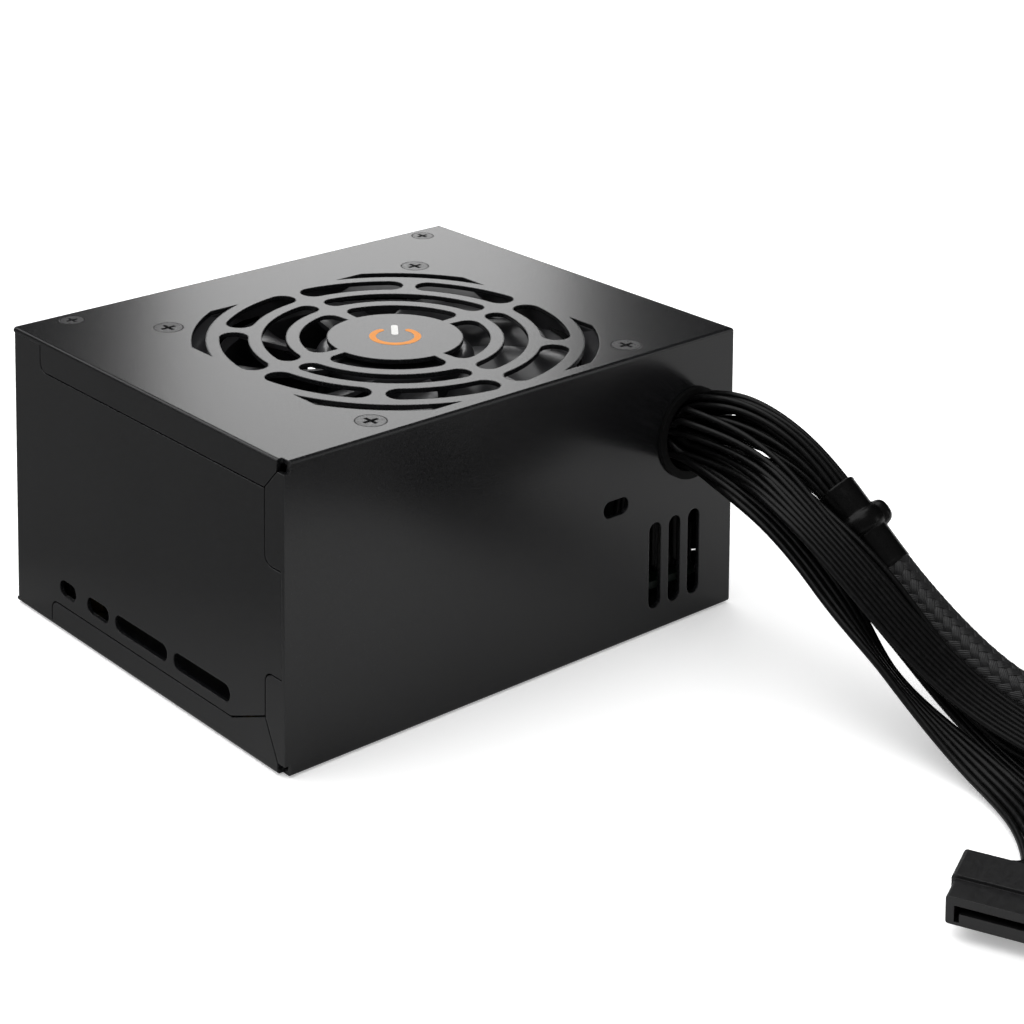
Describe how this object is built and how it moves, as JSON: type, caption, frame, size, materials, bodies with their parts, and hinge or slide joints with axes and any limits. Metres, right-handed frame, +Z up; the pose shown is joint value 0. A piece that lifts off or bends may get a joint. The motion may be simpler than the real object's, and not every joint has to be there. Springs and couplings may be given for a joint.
{
  "type": "computer power supply unit",
  "caption": "Compact steel-cased computer power supply with a top fan behind a stamped grille, a mains inlet, a rocker switch and a fixed bundle of output cables.",
  "frame": {"origin": "centre of the case's underside, on its rear-to-front and left-to-right middle", "axes": "+Z up through the fan grille, -Y out of the cable face, +Y out of the mains face, +X towards the cable exit's side"},
  "size_m": [0.1918, 0.2591, 0.0636],
  "materials": {
    "black_powder_coat": "fine-grained satin black powder coat",
    "black_screw_steel": "black zinc",
    "zinc_steel": "bright zinc",
    "fan_plastic": "smooth moulded, dark grey",
    "bearing_bronze": "sintered bronze",
    "nylon_white": "natural nylon",
    "ferrite_magnet": "rubber-bonded ferrite",
    "lamination_steel": "stacked laminations",
    "copper_wire": "enamelled copper",
    "board_green": "solder-masked fibreglass board",
    "inlet_plastic": "moulded, satin",
    "rocker_plastic": "moulded, semi-gloss",
    "plated_brass": "tin plated",
    "wire_insulation": "black PVC, semi-gloss",
    "brass_standoff": "turned",
    "insulating_film": "milky polycarbonate film",
    "ferrite_core": "ground ferrite",
    "iron_powder_core": "epoxy-coated iron powder",
    "bobbin_tape": "polyester tape over winding",
    "capacitor_sleeve": "shrunk sleeve, bare top",
    "capacitor_box": "boxed film capacitor",
    "fuse_glass": "clear tube with plated caps",
    "heatsink_aluminium": "milled sheet",
    "package_epoxy": "moulded epoxy",
    "grommet_rubber": "matt",
    "heat_shrink_plastic": "shrunk polyolefin, satin",
    "braid_plastic": "open braid of polyester filament",
    "connector_nylon": "black nylon"
  },
  "bodies": {
    "case": {"board_screws": "zinc_steel", "board_standoffs": "brass_standoff", "boost_choke_core": "ferrite_core", "boost_choke_winding": "bobbin_tape", "braided_sleeve": "braid_plastic", "bridge_rectifier": "package_epoxy", "bulk_capacitor": "capacitor_sleeve", "cable_grommet": "grommet_rubber", "cable_tie": "heat_shrink_plastic", "case_screws": "black_screw_steel", "connector_terminals": "plated_brass", "control_board": "board_green", "device_screws": "zinc_steel", "drive_cable": "wire_insulation", "drive_connector": "connector_nylon", "fan_bearing": "bearing_bronze", "fan_board": "board_green", "fan_coils": "copper_wire", "fan_frame": "fan_plastic", "fan_lead": "wire_insulation", "fan_plug": "nylon_white", "fan_screws": "black_screw_steel", "fan_stator": "lamination_steel", "filter_choke_core": "ferrite_core", "filter_choke_winding": "copper_wire", "fuse": "fuse_glass", "graphics_cable": "wire_insulation", "graphics_connector": "connector_nylon", "heat_shrink": "heat_shrink_plastic", "inlet_housing": "inlet_plastic", "inlet_pins": "plated_brass", "inlet_screws": "black_screw_steel", "inner_chassis": "black_powder_coat", "insulating_sheet": "insulating_film", "main_board": "board_green", "main_cable": "wire_insulation", "main_connector": "connector_nylon", "mains_wires": "wire_insulation", "outer_shell": "black_powder_coat", "output_capacitors": "capacitor_sleeve", "output_choke_core": "iron_powder_core", "output_choke_winding": "copper_wire", "output_rectifiers": "package_epoxy", "peripheral_cable": "wire_insulation", "peripheral_connector": "connector_nylon", "power_transistors": "package_epoxy", "primary_heatsink": "heatsink_aluminium", "processor_cable": "wire_insulation", "processor_connector": "connector_nylon", "secondary_heatsink": "heatsink_aluminium", "switch_contacts": "plated_brass", "switch_housing": "inlet_plastic", "transformer_cores": "ferrite_core", "transformer_windings": "bobbin_tape", "x_capacitor": "capacitor_box"},
    "fan_impeller": {"fan_rotor": "fan_plastic", "fan_shaft": "zinc_steel", "fan_magnet": "ferrite_magnet", "fan_clip": "nylon_white"},
    "rocker": {"switch_rocker": "rocker_plastic"}
  },
  "joints": [
    {"name": "fan_spin", "type": "hinge", "parent": "case", "child": "fan_impeller", "pos_m": [0, -0.0075, 0.055], "axis": [0, 0, 1], "continuous": true},
    {"name": "rocker_pivot", "type": "hinge", "parent": "case", "child": "rocker", "pos_m": [0.004, 0.0482, 0.036], "axis": [1, 0, 0], "range_deg": [0, 20]}
  ]
}
